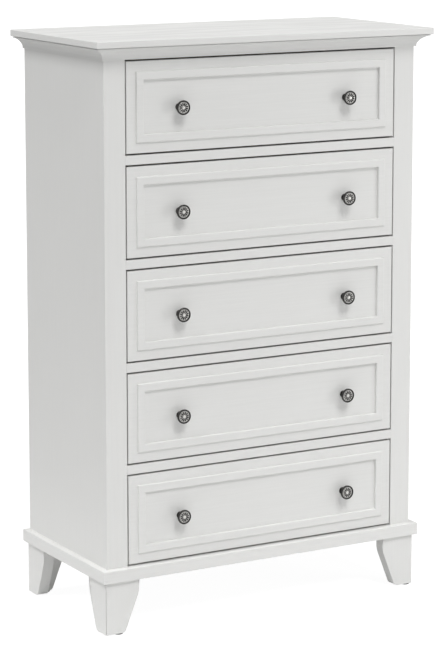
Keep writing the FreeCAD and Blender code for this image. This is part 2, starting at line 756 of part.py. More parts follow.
for thing in doc.Objects:
    if "Invalid" in thing.State or "Error" in thing.State:
        raise RuntimeError(f"{thing.Name} could not be worked out: {thing.State}")
os.makedirs("parts", exist_ok=True)
for piece in subparts:
    if piece.Shape.isNull() or not piece.Shape.isValid():
        raise RuntimeError(f"{piece.Label} has no valid shape")
for piece in subparts:
    piece.Shape.exportStep(f"parts/{piece.Label}.step")
    print(piece.Label, len(piece.Shape.Solids), round(piece.Shape.Volume))
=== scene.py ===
"""Tall chest of five drawers: the painted case, its drawers and knobs, and the studio round it."""

import math

import bmesh
import bpy
import numpy as np
from bpy.props import FloatProperty, FloatVectorProperty, IntProperty, PointerProperty
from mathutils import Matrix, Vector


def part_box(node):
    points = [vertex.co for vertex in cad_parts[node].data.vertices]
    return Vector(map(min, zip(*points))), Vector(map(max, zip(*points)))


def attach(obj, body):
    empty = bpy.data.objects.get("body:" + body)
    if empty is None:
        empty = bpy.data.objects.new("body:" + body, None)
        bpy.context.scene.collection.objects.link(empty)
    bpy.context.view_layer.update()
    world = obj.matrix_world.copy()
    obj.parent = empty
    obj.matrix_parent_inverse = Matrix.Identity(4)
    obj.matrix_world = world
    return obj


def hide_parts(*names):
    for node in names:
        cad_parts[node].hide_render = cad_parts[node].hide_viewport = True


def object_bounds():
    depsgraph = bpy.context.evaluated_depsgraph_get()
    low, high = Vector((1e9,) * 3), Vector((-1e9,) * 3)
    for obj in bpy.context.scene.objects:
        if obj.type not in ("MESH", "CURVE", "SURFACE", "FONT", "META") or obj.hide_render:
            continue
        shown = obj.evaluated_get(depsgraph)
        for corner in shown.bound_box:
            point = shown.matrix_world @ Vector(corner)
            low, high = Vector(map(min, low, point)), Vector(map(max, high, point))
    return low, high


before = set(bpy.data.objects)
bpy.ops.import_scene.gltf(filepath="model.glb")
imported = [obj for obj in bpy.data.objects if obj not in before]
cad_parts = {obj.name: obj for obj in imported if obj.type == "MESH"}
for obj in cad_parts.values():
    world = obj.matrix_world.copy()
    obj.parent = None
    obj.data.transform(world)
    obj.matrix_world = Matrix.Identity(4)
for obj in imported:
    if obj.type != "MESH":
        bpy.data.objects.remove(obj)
CAD_BOX = [list(corner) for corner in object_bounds()]

bl_info = {
    "name": "Tall Chest of Drawers",
    "version": (1, 0, 0),
    "blender": (4, 5, 0),
    "location": "View3D > Sidebar > Chest",
    "description": "Builds a painted five-drawer chest on its fixed frame, with its finishes and its studio",
    "category": "Object",
}

DRAWERS = range(1, 6)
FEET = ("front_left", "front_right", "back_left", "back_right")

# Angles in degrees: an edge that turns more stays crisp on plain, moulded, cast and turned pieces
CRISP, CRISP_MOULDED, CRISP_CAST, CRISP_TURNED = 38, 28, 50, 40

# Angle in degrees: an edge that turns more is rounded where a piece is eased
EASED = 40

# Points round a knob, a screw and a nail
KNOB_POINTS, SCREW_POINTS, NAIL_POINTS = 96, 64, 12

# Nails in one row up the back panel and in one row across it
NAILS_UP, NAILS_ACROSS = 11, 7

# Radius that closes a turned piece on its axis, and how far a section runs on under a flat face
PIN, TOP_CORE, FRONT_CORE = 0.0002, 0.12, 0.03

# A screw's head from its rim to its middle: the radius as a share of the head's, and the depth under
# the crown as a share of its thickness
HEAD_RADII = np.array([1.0, 1.0, 0.93, 0.8, 0.68, 0.6, 0.5, 0.4, 0.3, 0.2, 0.1, 0.02])
HEAD_DEPTHS = np.array([0.85, 0.45, 0.28, 0.16, 0.09, 0.06, 0.04, 0.03, 0.01, 0, 0, 0])

# The cross in a screw's head: depth, and its arms' length and half width as shares of the radius
CROSS_DEPTH, CROSS_ARM, CROSS_HALF = 0.0011, 0.62, 0.13

# Where the lights stand or come from
MAIN_FROM, FILL_FROM, SUN_SOFTNESS = (0.0, -21.0, 27.0), (-25.0, 0.0, 33.0), 24
SIDE_PLACE, SIDE_AIM, SIDE_WIDE, SIDE_TALL = (2.0, -1.7, 1.0), (0.2, -0.1, 0.7), 0.9, 1.5

# The floor: half its width, its shade and its glow; and half the width of the part that bounces light
FLOOR_HALF, FLOOR_SHADE, FLOOR_GLOW, BOUNCE_HALF = 30.0, 0.30, 0.86, 0.9


# Sizes, finishes and lights that a user may change


def millimetres(name, size, description):
    """A length property whose default is given in millimetres."""
    return FloatProperty(
        name=name,
        description=description,
        default=size / 1000,
        min=0.0,
        precision=5,
        subtype="DISTANCE",
        unit="LENGTH",
    )


def colour(name, rgb, description):
    """A colour property with three linear channels."""
    return FloatVectorProperty(
        name=name, description=description, default=rgb, size=3, min=0.0, max=1.0, subtype="COLOR"
    )


def share(name, amount, description, most=1.0):
    """A property for a plain number from 0 to `most`."""
    return FloatProperty(name=name, description=description, default=amount, min=0.0, max=most)


class ChestSizes(bpy.types.PropertyGroup):
    """Sizes of the pieces that are made here; places come from the fixed frame."""

    top_ease: millimetres("Top edge", 1.6, "Rounding of the top panel's edges")
    top_corner: millimetres("Top corner", 2.2, "Rounding of the top panel's corners, seen from above")
    cornice_lip: millimetres("Cornice lip", 4, "How far the moulding's flat foot stands out")
    cornice_lip_height: millimetres("Cornice lip height", 4.5, "Height of the moulding's flat foot")
    cornice_step: millimetres("Cornice step", 1.2, "Soffit between the hollow and the fillet above it")
    cornice_fillet: millimetres("Cornice fillet", 3, "Height of the fillet above the hollow")
    cornice_quirk: millimetres("Cornice quirk", 1.2, "Shadow groove between the moulding and the top")
    cornice_quirk_depth: millimetres("Cornice quirk depth", 4, "How far that groove goes in")
    cove_radius: millimetres("Cove radius", 29, "Radius of the moulding's hollow")
    moulding_ease: millimetres("Moulding edge", 0.6, "Rounding of the moulding's edges")
    board_ease: millimetres("Board edge", 0.7, "Rounding of the edges of flat boards")
    front_ease: millimetres("Drawer edge", 0.8, "Rounding of a drawer front's outer edge")
    band_margin: millimetres("Band margin", 21, "Edge of a drawer front to its raised band")
    band_width: millimetres("Band width", 17, "Width of the raised band")
    band_rise: millimetres("Band rise", 4, "Height of the raised band above the margin")
    band_ease: millimetres("Band edge", 2.4, "Rounding of the raised band's edges")
    band_nook: millimetres("Band nook", 0.4, "Rounding of the inner corners beside the band")
    panel_recess: millimetres("Panel recess", 2, "Centre panel below the margin")
    plinth_board: millimetres("Plinth board", 60, "Width of the plinth's boards, laid flat")
    plinth_ease: millimetres("Plinth edge", 2, "Rounding of the plinth's upper edge")
    plinth_arris: millimetres("Plinth arris", 0.6, "Rounding of the plinth's lower edge")
    foot_thick: millimetres("Foot board", 25, "Thickness of a foot's boards")
    foot_top: millimetres("Foot at the plinth", 77, "Width of a foot's board where it meets the plinth")
    foot_bottom: millimetres("Foot at the floor", 44, "Width of a foot's board at its lower end")
    foot_shoulder: millimetres("Foot shoulder", 28, "Plinth down to where the taper starts")
    foot_bend: millimetres("Foot bend", 60, "Radius between the upright edge and the taper")
    foot_toe: millimetres("Foot toe", 12, "Radius at the inner lower corner")
    foot_gap: millimetres("Foot mitre gap", 0.5, "Each board of a foot back from the mitre")
    foot_ease: millimetres("Foot edge", 0.7, "Rounding of a foot's edges")
    knob_spacing: millimetres("Knob spacing", 398, "Centre to centre on one drawer")
    knob_drop: millimetres("Knob drop", 4, "Knobs below the middle of the drawer front")
    knob_width: millimetres("Knob", 30, "Diameter of a knob's head")
    knob_head: millimetres("Knob head", 8, "Thickness of a knob's head")
    knob_reach: millimetres("Knob reach", 22, "Knob, out from the centre panel")
    knob_foot: millimetres("Knob foot", 15, "Diameter of a knob's foot")
    knob_foot_thick: millimetres("Knob foot thickness", 3, "Thickness of a knob's foot")
    knob_neck: millimetres("Knob neck", 10, "Diameter of a knob's neck")
    knob_rim: millimetres("Knob rim", 2.2, "Width of the rim round a knob's face")
    knob_dish: millimetres("Knob dish", 1.4, "Depth of the ring inside the rim")
    knob_button: millimetres("Knob button", 8, "Diameter of the button in the middle")
    knob_hollows: IntProperty(
        name="Hollows", description="Hollows round the button", default=12, min=3
    )
    screw_shank: millimetres("Screw shank", 4, "Diameter of a knob screw's shank")
    screw_bite: millimetres("Screw bite", 9, "Knob screw inside the knob, past its seat")
    screw_head: millimetres("Screw head", 8, "Diameter of a knob screw's head")
    screw_head_thick: millimetres("Screw head thickness", 2.5, "Thickness of that head")
    nail_head: millimetres("Nail head", 5, "Diameter of the nails in the back panel")
    nail_inset: millimetres("Nail inset", 5, "Nails in from the back panel's edges")
    nail_end: millimetres("Nail row end", 30, "First nail of a row from the panel's corner")


class ChestFinish(bpy.types.PropertyGroup):
    """Colours and gloss of the finishes."""

    paint: colour("Paint", (0.79, 0.79, 0.775), "White paint")
    paint_gloss: share("Paint roughness", 0.42, "Roughness of the satin paint")
    wood_pale: colour("Pale wood", (0.70, 0.53, 0.34), "Early wood of the drawer boxes")
    wood_dark: colour("Dark wood", (0.50, 0.33, 0.17), "Late wood of the drawer boxes")
    board_pale: colour("Pale board", (0.40, 0.27, 0.16), "Lighter fibres of the back panel")
    board_dark: colour("Dark board", (0.22, 0.135, 0.075), "Darker fibres of the back panel")
    steel: colour("Steel", (0.62, 0.63, 0.64), "Zinc plated steel")
    pewter: colour("Pewter", (0.84, 0.83, 0.80), "High points of the knobs, worn bright")
    # The dark end of the knobs' finish: tarnish in their hollows, and painted shade on their rims
    patina_and_shade: colour("Patina", (0.016, 0.015, 0.014), "Hollows of the knobs")
    plastic: colour("Plastic", (0.010, 0.010, 0.011), "Glides under the feet")


class ChestStudio(bpy.types.PropertyGroup):
    """The camera and the lights."""

    camera_place: FloatVectorProperty(
        name="Camera",
        description="Where the camera stands",
        default=(-2.6322, -4.5730, 1.6024),
        size=3,
        subtype="TRANSLATION",
        unit="LENGTH",
    )
    camera_tilt: FloatProperty(
        name="Camera tilt",
        description="Camera below the horizon",
        default=math.radians(8.766),
        subtype="ANGLE",
        unit="ROTATION",
    )
    camera_turn: FloatProperty(
        name="Camera turn",
        description="Camera to the right of straight on",
        default=math.radians(29.933),
        subtype="ANGLE",
        unit="ROTATION",
    )
    lens: FloatProperty(name="Lens", description="Focal length in mm", default=136.71, min=1.0)
    shift: FloatProperty(name="Shift", description="Lens shift, upward", default=-0.15)
    walls: share("Walls", 0.11, "Brightness of the room at the horizon", 10.0)
    sky: share("Ceiling", 0.49, "Brightness of the room straight above", 10.0)
    backdrop: share("Backdrop", 0.62, "Brightness of the wall behind the chest", 10.0)
    below: share("Low light", 0.41, "Brightness of the room below the horizon", 10.0)
    below_front: share("Low front light", 0.87, "The same in front of the chest", 10.0)
    ground: share("Ground", 0.77, "How much light the floor near the chest throws back")
    main: share("Main light", 0.42, "Large soft light above the front", 20.0)
    side: share("Side light", 9.5, "Soft light near the right, in watts", 200.0)
    fill: share("Fill light", 0.455, "Soft light from high on the left", 20.0)


# Shapes: outlines, rings and the skins through them


def walk(centre, radius, start, end, steps):
    """Points in even steps on a circle, the short way round from start's direction to end's."""
    first, last = (math.atan2(*(point - centre)[::-1]) for point in (start, end))
    sweep = (last - first + math.pi) % (2 * math.pi) - math.pi
    turn = first + sweep * np.linspace(0, 1, steps)
    return centre + radius * np.stack([np.cos(turn), np.sin(turn)], 1)


def arc(start, end, radius, steps):
    """Points on the circle through start and end that bends left of the way from start to end.

    With half chord c, the centre lies sqrt(radius^2 - c^2) to the right of the chord's middle, and
    the points turn about it in even steps.
    """
    start, end = np.array(start, float), np.array(end, float)
    chord = end - start
    half = np.hypot(*chord) / 2
    right = np.array([chord[1], -chord[0]]) / (2 * half)
    centre = (start + end) / 2 + right * math.sqrt(radius**2 - half**2)
    return walk(centre, radius, start, end, steps)


def rounded(corners, radii, steps=6):
    """A closed outline whose corners become arcs that touch both of their sides.

    Where the sides meet at the angle 2a, the arc touches them radius / tan(a) from the corner, and its
    centre lies radius / sin(a) away on the bisector. A spare point a little before and after each arc
    keeps the flats next to it flat.
    """
    corners = np.array(corners, float)
    outline = []
    for number, (corner, radius) in enumerate(zip(corners, radii)):
        if radius == 0:
            outline.append(corner[None])
            continue
        back = corners[number - 1] - corner
        ahead = corners[(number + 1) % len(corners)] - corner
        back, ahead = back / np.hypot(*back), ahead / np.hypot(*ahead)
        half = math.acos(np.clip(back @ ahead, -1, 1)) / 2
        reach = radius / math.tan(half)
        bisector = (back + ahead) / np.hypot(*(back + ahead))
        centre = corner + bisector * radius / math.sin(half)
        bend = walk(centre, radius, corner + back * reach, corner + ahead * reach, steps)
        hold = reach + radius * 0.3
        outline += [(corner + back * hold)[None], bend, (corner + ahead * hold)[None]]
    return np.concatenate(outline)


def rectangle_rings(low, high, insets, corner=0.0, steps=1):
    """A rectangle's outline drawn once for each inset, as an array of rings by points by 2.

    Each ring is the rectangle from low to high made smaller by its inset on every side, with corners
    of radius corner - inset, but at least a seventh of corner.
    """
    insets = np.asarray(insets, float)[:, None, None]
    middle, half = (np.add(high, low) / 2, np.subtract(high, low) / 2)
    radius = np.maximum(corner - insets, corner / 7)
    quarter = np.linspace(0, math.pi / 2, steps) if steps > 1 else np.array([math.pi / 4])
    turn = (np.arange(4)[:, None] * math.pi / 2 + quarter[None]).ravel()
    around = np.stack([np.cos(turn), np.sin(turn)], 1)
    quadrant = np.repeat([[1, 1], [-1, 1], [-1, -1], [1, -1]], len(quarter), axis=0)
    return middle + quadrant * (half - insets - radius) + radius * around


def skin(rings):
    """Points and faces of a closed skin through rings of points, with a flat face on either end.

    Point j of ring i has the number i * n + j, and a quad joins points j and j + 1 of rings i and
    i + 1, with the last point followed by the first.
    """
    rows, around, _ = rings.shape
    row = np.arange(rows - 1)[:, None] * around
    here = np.arange(around)[None, :]
    there = (here + 1) % around
    quads = np.stack([row + here, row + there, row + around + there, row + around + here], -1)
    ends = [list(range(around))[::-1], list(range((rows - 1) * around, rows * around))]
    return rings.reshape(-1, 3), quads.reshape(-1, 4).tolist() + ends


def joined(parts):
    """Several (points, faces) pairs as one, each part's faces counted on from the points before it."""
    points, faces, first = [], [], 0
    for part_points, part_faces in parts:
        points.append(part_points)
        faces += [[number + first for number in face] for face in part_faces]
        first += len(part_points)
    return np.concatenate(points), faces


def add_piece(name, shape, body, slot, material, replaced=(), sharp=CRISP, **attributes):
    """Makes a closed mesh object with its faces outward, which rides on a body of the frame.

    With `sharp` 0 all its edges are left to a bevel; each attribute is one number for each point.
    """
    points, faces = shape
    mesh = bpy.data.meshes.new(name)
    mesh.from_pydata(points.tolist(), [], faces)
    for label, numbers in attributes.items():
        layer = mesh.attributes.new(label, "FLOAT", "POINT")
        layer.data.foreach_set("value", np.asarray(numbers, np.float32))
    work = bmesh.new()
    work.from_mesh(mesh)
    bmesh.ops.recalc_face_normals(work, faces=work.faces)
    work.to_mesh(mesh)
    work.free()
    mesh.polygons.foreach_set("use_smooth", np.ones(len(mesh.polygons), bool))
    if sharp:
        mesh.set_sharp_from_angle(angle=math.radians(sharp))
    mesh.materials.append(material)
    thing = bpy.data.objects.new(name, mesh)
    bpy.context.scene.collection.objects.link(thing)
    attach(thing, body)
    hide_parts(*replaced)
    return thing


def soften(thing, width):
    """Rounds every edge of a piece that turns by more than EASED."""
    edge = thing.modifiers.new("eased_edges", "BEVEL")
    edge.width = width
    edge.segments = 3
    edge.limit_method = "ANGLE"
    edge.angle_limit = math.radians(EASED)
    edge.harden_normals = True


def paint_nodes(nodes, material):
    """Gives a material to nodes of the frame that are shown as they are."""
    for name in nodes:
        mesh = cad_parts[name].data
        mesh.materials.clear()
        mesh.materials.append(material)


def box_of(node):
    """A node's lowest and highest corner, as arrays."""
    low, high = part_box(node)
    return np.array(low), np.array(high)


# Finishes


class Signal:
    """A number that a node gives. Each operator on it adds one Math node."""

    def __init__(self, recipe, socket):
        self.recipe = recipe
        self.socket = socket

    def math(self, operation, first, second=0.0):
        """The Math node that does `operation` on two numbers."""
        return self.recipe.node("ShaderNodeMath", {"operation": operation}, {0: first, 1: second})

    def __add__(self, other):
        return self.math("ADD", self, other)

    def __radd__(self, other):
        return self.math("ADD", other, self)

    def __sub__(self, other):
        return self.math("SUBTRACT", self, other)

    def __rsub__(self, other):
        return self.math("SUBTRACT", other, self)

    def __mul__(self, other):
        return self.math("MULTIPLY", self, other)

    def __rmul__(self, other):
        return self.math("MULTIPLY", other, self)

    def __pow__(self, other):
        return self.math("POWER", self, other)

    def sine(self):
        """The sine of this number."""
        return self.math("SINE", self)

    def clipped(self):
        """This number kept between 0 and 1."""
        return self.recipe.node("ShaderNodeClamp", {}, {0: self, 1: 0.0, 2: 1.0})


class Recipe:
    """The nodes of one material, which reads the coordinates of its own object, or of the room."""

    def __init__(self, owner):
        self.material = bpy.data.materials.new(owner) if isinstance(owner, str) else owner
        self.material.use_nodes = True
        self.tree = self.material.node_tree
        self.tree.nodes.clear()
        self.place = self.node("ShaderNodeTexCoord", {}, {}, "Object")

    def node(self, kind, settings, inputs, output=0):
        """Adds a node: its settings first, then the values or links of its sockets."""
        made = self.tree.nodes.new(kind)
        for name, setting in settings.items():
            setattr(made, name, setting)
        for key, given in inputs.items():
            if isinstance(given, Signal):
                self.tree.links.new(given.socket, made.inputs[key])
            else:
                made.inputs[key].default_value = given
        return Signal(self, made.outputs[output]) if len(made.outputs) else None

    def cloud(self, scale, detail=2.0):
        """Noise from 0 to 1; scale is in patches per metre along each axis."""
        inputs = {0: self.place, 1: scale}
        place = self.node("ShaderNodeVectorMath", {"operation": "MULTIPLY"}, inputs)
        inputs = {"Vector": place, "Scale": 1.0, "Detail": detail}
        return self.node("ShaderNodeTexNoise", {}, inputs)

    def streaks(self, grain, across, stretch, detail=2.0):
        """Noise drawn out along the grain: `across` patches per metre, `stretch` times longer."""
        scale = [across] * 3
        scale[grain] = across / stretch
        return self.cloud(scale, detail)

    def blend(self, factor, first, second):
        """A colour that goes from first to second."""
        inputs = {0: factor, 6: (*first, 1.0), 7: (*second, 1.0)}
        return self.node("ShaderNodeMix", {"data_type": "RGBA"}, inputs, 2)

    def finish(self, base, roughness, height, depth, **fixed):
        """The surface: colour and roughness vary, height in units of depth becomes bumps."""
        inputs = {"Strength": 1.0, "Distance": depth, "Height": height}
        normal = self.node("ShaderNodeBump", {}, inputs)
        inputs = {"Base Color": base, "Roughness": roughness, "Normal": normal}
        inputs.update({name.replace("_", " "): number for name, number in fixed.items()})
        surface = self.node("ShaderNodeBsdfPrincipled", {}, inputs)
        self.node("ShaderNodeOutputMaterial", {}, {"Surface": surface})
        return self.material


def white_paint(name, grain, shown, top=None):
    """Satin white paint on wood whose grain runs along axis `grain`; `shown` is how much it tells.

    On the face at height `top`, where the grain is seen at a low angle, broader streaks show too.
    """
    look = bpy.context.scene.chest_finish
    recipe = Recipe(name)
    fibres = recipe.streaks(grain, across=300, stretch=40, detail=3.0)
    brush = recipe.streaks(grain, across=1400, stretch=24)
    patches = recipe.cloud((2.6, 2.6, 2.6))
    spread = 0.045
    pale = tuple(min(1.0, c * (1 + spread)) for c in look.paint)
    dim = tuple(c * (1 - spread) for c in look.paint)
    tone = (fibres - 0.5) * (2.2 * shown) + (patches - 0.5) * 0.4 + 0.5
    if top is not None:
        z = recipe.node("ShaderNodeSeparateXYZ", {}, {0: recipe.place}, "Z")
        # 1 on the top face and 0 from half a millimetre under it
        flat = ((z - top) * 2000 + 1).clipped()
        broad = recipe.streaks(grain, across=48, stretch=9)
        tone = tone + (broad - 0.5) * 6.0 * flat
    base = recipe.blend(tone.clipped(), dim, pale)
    roughness = look.paint_gloss + (patches - 0.5) * 0.12 + (brush - 0.5) * 0.10
    height = fibres * 0.7 + brush * 0.3
    return recipe.finish(base, roughness, height, depth=0.00009 * shown)


def pale_wood(grain):
    """Clear-finished pale wood: rings from the sine of a stretched cloud, crossed by fine fibres."""
    look = bpy.context.scene.chest_finish
    recipe = Recipe("pale_wood_" + "xyz"[grain])
    trunk = recipe.streaks(grain, across=7, stretch=9, detail=1.0)
    rings = (trunk * 95).sine() * 0.5 + 0.5
    fibres = recipe.streaks(grain, across=900, stretch=60)
    patches = recipe.cloud((4, 4, 4))
    tone = (rings**2.2 * 0.55 + fibres * 0.5 + patches * 0.3 - 0.28).clipped()
    base = recipe.blend(tone, look.wood_pale, look.wood_dark)
    roughness = 0.50 + (fibres - 0.5) * 0.2
    return recipe.finish(base, roughness, fibres * 0.8 + rings * 0.2, depth=0.00010)


def fibre_board():
    """Plain hardboard: short brown fibres lying every way."""
    look = bpy.context.scene.chest_finish
    recipe = Recipe("fibre_board")
    across = recipe.cloud((260, 260, 1400), detail=3.0)
    upright = recipe.cloud((1400, 260, 260), detail=3.0)
    patches = recipe.cloud((9, 9, 9), detail=3.0)
    tone = (across * 0.6 + upright * 0.6 + patches * 0.5 - 0.42).clipped()
    base = recipe.blend(tone, look.board_dark, look.board_pale)
    roughness = 0.72 + (across - 0.5) * 0.2
    return recipe.finish(base, roughness, across + upright, depth=0.00015)


def zinc_steel():
    """Zinc plated steel, drawn along the runner, with soft dull patches."""
    look = bpy.context.scene.chest_finish
    recipe = Recipe("zinc_steel")
    drawn = recipe.streaks(1, across=1600, stretch=60)
    patches = recipe.cloud((38, 14, 38), detail=3.0)
    dull = tuple(c * 0.72 for c in look.steel)
    base = recipe.blend((patches * 0.9 + drawn * 0.4 - 0.2).clipped(), dull, look.steel)
    roughness = 0.30 + (patches - 0.5) * 0.22 + (drawn - 0.5) * 0.14
    return recipe.finish(base, roughness, drawn, depth=0.00002, Metallic=1.0)


def antique_pewter():
    """Cast pewter, worn bright where wear is high and dark where it is low: tarnish in the hollows and
    painted shade on the rim.
    """
    look = bpy.context.scene.chest_finish
    recipe = Recipe("antique_pewter")
    wear = recipe.node("ShaderNodeAttribute", {"attribute_name": "wear"}, {}, "Fac")
    specks = recipe.cloud((900, 900, 900), detail=3.0)
    patches = recipe.cloud((160, 160, 160))
    # Dark towards patina_and_shade where wear is low: tarnish in the hollows and painted shade on the rim
    rubbed_and_unshaded = (wear * 1.15 + (specks - 0.5) * 0.3 + (patches - 0.5) * 0.9 * wear).clipped()
    base = recipe.blend(rubbed_and_unshaded, look.patina_and_shade, look.pewter)
    roughness = 0.42 - rubbed_and_unshaded * 0.14 + (specks - 0.5) * 0.12
    return recipe.finish(base, roughness, specks + patches, depth=0.00008, Metallic=0.9)


def black_plastic():
    """Moulded black plastic with a fine spark texture and a few scuffs."""
    look = bpy.context.scene.chest_finish
    recipe = Recipe("black_plastic")
    spark = recipe.cloud((2200, 2200, 2200))
    scuffs = recipe.cloud((300, 60, 300), detail=3.0)
    grey = tuple(c * 3.0 for c in look.plastic)
    base = recipe.blend((scuffs * 2.4 - 1.2).clipped(), look.plastic, grey)
    roughness = 0.48 + (spark - 0.5) * 0.2
    return recipe.finish(base, roughness, spark, depth=0.00005)


FINISHES = {
    "paint_top": lambda: white_paint("white_paint_top", 0, shown=0.5, top=CAD_BOX[1][2]),
    "paint_x": lambda: white_paint("white_paint_x", 0, shown=0.35),
    "paint_y": lambda: white_paint("white_paint_y", 1, shown=0.3),
    "paint_z": lambda: white_paint("white_paint_z", 2, shown=0.22),
    "wood_x": lambda: pale_wood(0),
    "wood_y": lambda: pale_wood(1),
    "board": fibre_board,
    "steel": zinc_steel,
    "pewter": antique_pewter,
    "plastic": black_plastic,
}
made_finishes = {}


def finish_of(label):
    """The finish with this label, made the first time that it is asked for and then shared."""
    if label not in made_finishes:
        made_finishes[label] = FINISHES[label]()
    return made_finishes[label]


# The case


class CHEST_OT_top(bpy.types.Operator):
    """The top panel: a slab with eased edges and corners"""

    bl_idname = "chest.top"
    bl_label = "Top panel"

    def execute(self, context):
        sizes = context.scene.chest_sizes
        low, high = box_of("top_panel")
        ease, thick = sizes.top_ease, high[2] - low[2]
        corners = [(TOP_CORE, 0), (0, 0), (0, thick), (TOP_CORE, thick)]
        section = rounded(corners, [0, ease, ease, 0], 7)
        flat = rectangle_rings(low[:2], high[:2], section[:, 0], sizes.top_corner, 7)
        height = np.broadcast_to((low[2] + section[:, 1])[:, None, None], (*flat.shape[:2], 1))
        shape = skin(np.concatenate([flat, height], 2))
        add_piece("top_slab", shape, "case", "white_paint", finish_of("paint_top"), ["top_panel"])
        return {"FINISHED"}


def corner_ring(profile, side, half, front, rear=None, turned=False):
    """A moulding's profile stood at one corner of the case.

    A profile point is (out, z). At a front corner it stands at x = side * (half + out) and
    y = front - out. At a rear corner y is rear, or rear + out where the moulding turns there too.
    """
    out, height = profile.T
    x = side * (half + out)
    if rear is None:
        y = front - out
    else:
        y = rear + (out if turned else 0 * out)
    return np.stack([x, y, height], 1)


def corner_rings(profile, half, front, rear, turned=False):
    """A moulding's profile at the rear left, front left, front right and rear right corners."""
    return (
        corner_ring(profile, -1, half, front, rear, turned),
        corner_ring(profile, -1, half, front),
        corner_ring(profile, 1, half, front),
        corner_ring(profile, 1, half, front, rear, turned),
    )


def add_length(stem, node, place, ends, grain):
    """Adds one length of moulding, drawn straight between the rings at its two ends."""
    material = finish_of("paint_" + grain)
    shape = skin(np.stack(ends))
    replaced = [f"{node}_{place}"]
    add_piece(f"{stem}_{place}", shape, "case", "white_paint", material, replaced, CRISP_MOULDED)


class CHEST_OT_cornice(bpy.types.Operator):
    """The hollow moulding under the top: a front length and two returns, mitred at the corners"""

    bl_idname = "chest.cornice"
    bl_label = "Cornice"

    def execute(self, context):
        sizes = context.scene.chest_sizes
        low, high = box_of("cornice_front")
        side_low, side_high = box_of("side_panel_left")
        half, front, rear = -side_low[0], box_of("stile_left")[0][1], side_high[1]
        tall, reach = high[2] - low[2], front - low[1]
        lip, lip_height = sizes.cornice_lip, sizes.cornice_lip_height
        under = tall - sizes.cornice_fillet
        cove = arc((lip, lip_height), (reach - sizes.cornice_step, under), sizes.cove_radius, 22)
        quirk, neck = tall - sizes.cornice_quirk, reach - sizes.cornice_quirk_depth
        upper = [(reach, under), (reach, quirk), (neck, quirk), (neck, tall), (0, tall)]
        ease = sizes.moulding_ease
        radii = [0, ease, *([0] * len(cove)), ease, 0, 0, 0, 0]
        profile = rounded([(0, 0), (lip, 0), *cove, *upper], radii, 5) + [0, low[2]]
        rings = corner_rings(profile, half, front, rear)
        add_length("cove", "cornice", "front", rings[1:3], "x")
        add_length("cove", "cornice", "left", rings[0:2], "y")
        add_length("cove", "cornice", "right", rings[2:4], "y")
        return {"FINISHED"}


class CHEST_OT_case(bpy.types.Operator):
    """Finishes of the case's flat boards, which are shown as they are, and the nails of its back"""

    bl_idname = "chest.case"
    bl_label = "Case"

    def execute(self, context):
        sizes = context.scene.chest_sizes
        upright = ["side_panel_left", "side_panel_right", "stile_left", "stile_right"]
        paint_nodes(upright, finish_of("paint_z"))
        paint_nodes(["drawer_rails", "top_rail", "bottom_panel"], finish_of("paint_x"))
        for name in upright + ["drawer_rails"]:
            soften(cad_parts[name], sizes.board_ease)
        paint_nodes(["back_panel"], finish_of("board"))
        paint_nodes(["runner_cleats"], finish_of("wood_y"))
        paint_nodes(["runner_channels"], finish_of("steel"))
        low, high = box_of("back_panel")
        edge, end, radius = sizes.nail_inset, sizes.nail_end, sizes.nail_head / 2
        up = np.linspace(low[2] + end, high[2] - end, NAILS_UP)
        across = np.linspace(low[0] + end, high[0] - end, NAILS_ACROSS)
        sides = [(x, z) for x in (low[0] + edge, high[0] - edge) for z in up]
        ends = [(x, z) for x in across for z in (low[2] + edge, high[2] - edge)]
        nails = joined([nail(x, high[1], z, radius) for x, z in sides + ends])
        add_piece("back_nails", nails, "case", "runner_steel", finish_of("steel"))
        return {"FINISHED"}


def nail(x, y, z, radius):
    """A low domed nail head on a face at y.

    Each ring of the head is `wide` times the radius wide and stands `rise` times the radius out of
    the face, from 0.1 under it at the edge to 0.25 over it in the middle.
    """
    wide = np.array([1.0, 1.0, 0.8, 0.5, 0.15]) * radius
    rise = np.array([-0.1, 0.03, 0.16, 0.22, 0.25]) * radius
    turn = np.linspace(0, 2 * math.pi, NAIL_POINTS, endpoint=False)
    flat = wide[:, None, None] * np.stack([np.cos(turn), np.sin(turn)], 1)[None]
    depth = np.broadcast_to((y + rise)[:, None], flat.shape[:2])
    return skin(np.stack([x + flat[..., 0], depth, z + flat[..., 1]], 2))


class CHEST_OT_plinth(bpy.types.Operator):
    """The plinth: four flat boards mitred at the corners, with an eased upper edge"""

    bl_idname = "chest.plinth"
    bl_label = "Plinth"

    def execute(self, context):
        sizes = context.scene.chest_sizes
        low, high = box_of("plinth_front")
        rear = box_of("plinth_back")[1][1]
        half, front, board = high[0], low[1], sizes.plinth_board
        corners = [(-board, low[2]), (0, low[2]), (0, high[2]), (-board, high[2])]
        profile = rounded(corners, [0, sizes.plinth_arris, sizes.plinth_ease, 0], 7)
        rings = corner_rings(profile, half, front, rear, turned=True)
        add_length("base", "plinth", "front", rings[1:3], "x")
        add_length("base", "plinth", "left", rings[0:2], "y")
        add_length("base", "plinth", "right", rings[2:4], "y")
        add_length("base", "plinth", "back", rings[0::3], "x")
        return {"FINISHED"}


def foot_board(sizes, tall):
    """One board of a foot as an outline (along, up) drawn at its outer and at its inner face.

    The board starts at the mitre, so that at depth t no point is nearer the corner than t + gap.
    Gives an array of two faces by points by (along, depth, up).
    """
    bend = tall - sizes.foot_shoulder
    wide, narrow = sizes.foot_top, sizes.foot_bottom
    corners = [(0, 0), (narrow, 0), (wide, bend), (wide, tall), (0, tall)]
    outline = rounded(corners, [0, sizes.foot_toe, sizes.foot_bend, 0, 0], 14)
    depth = np.array([0.0, sizes.foot_thick])[:, None]
    along = np.maximum(outline[:, 0], depth + sizes.foot_gap)
    up = np.broadcast_to(outline[:, 1], along.shape)
    return np.stack([along, np.broadcast_to(depth, along.shape), up], 2)


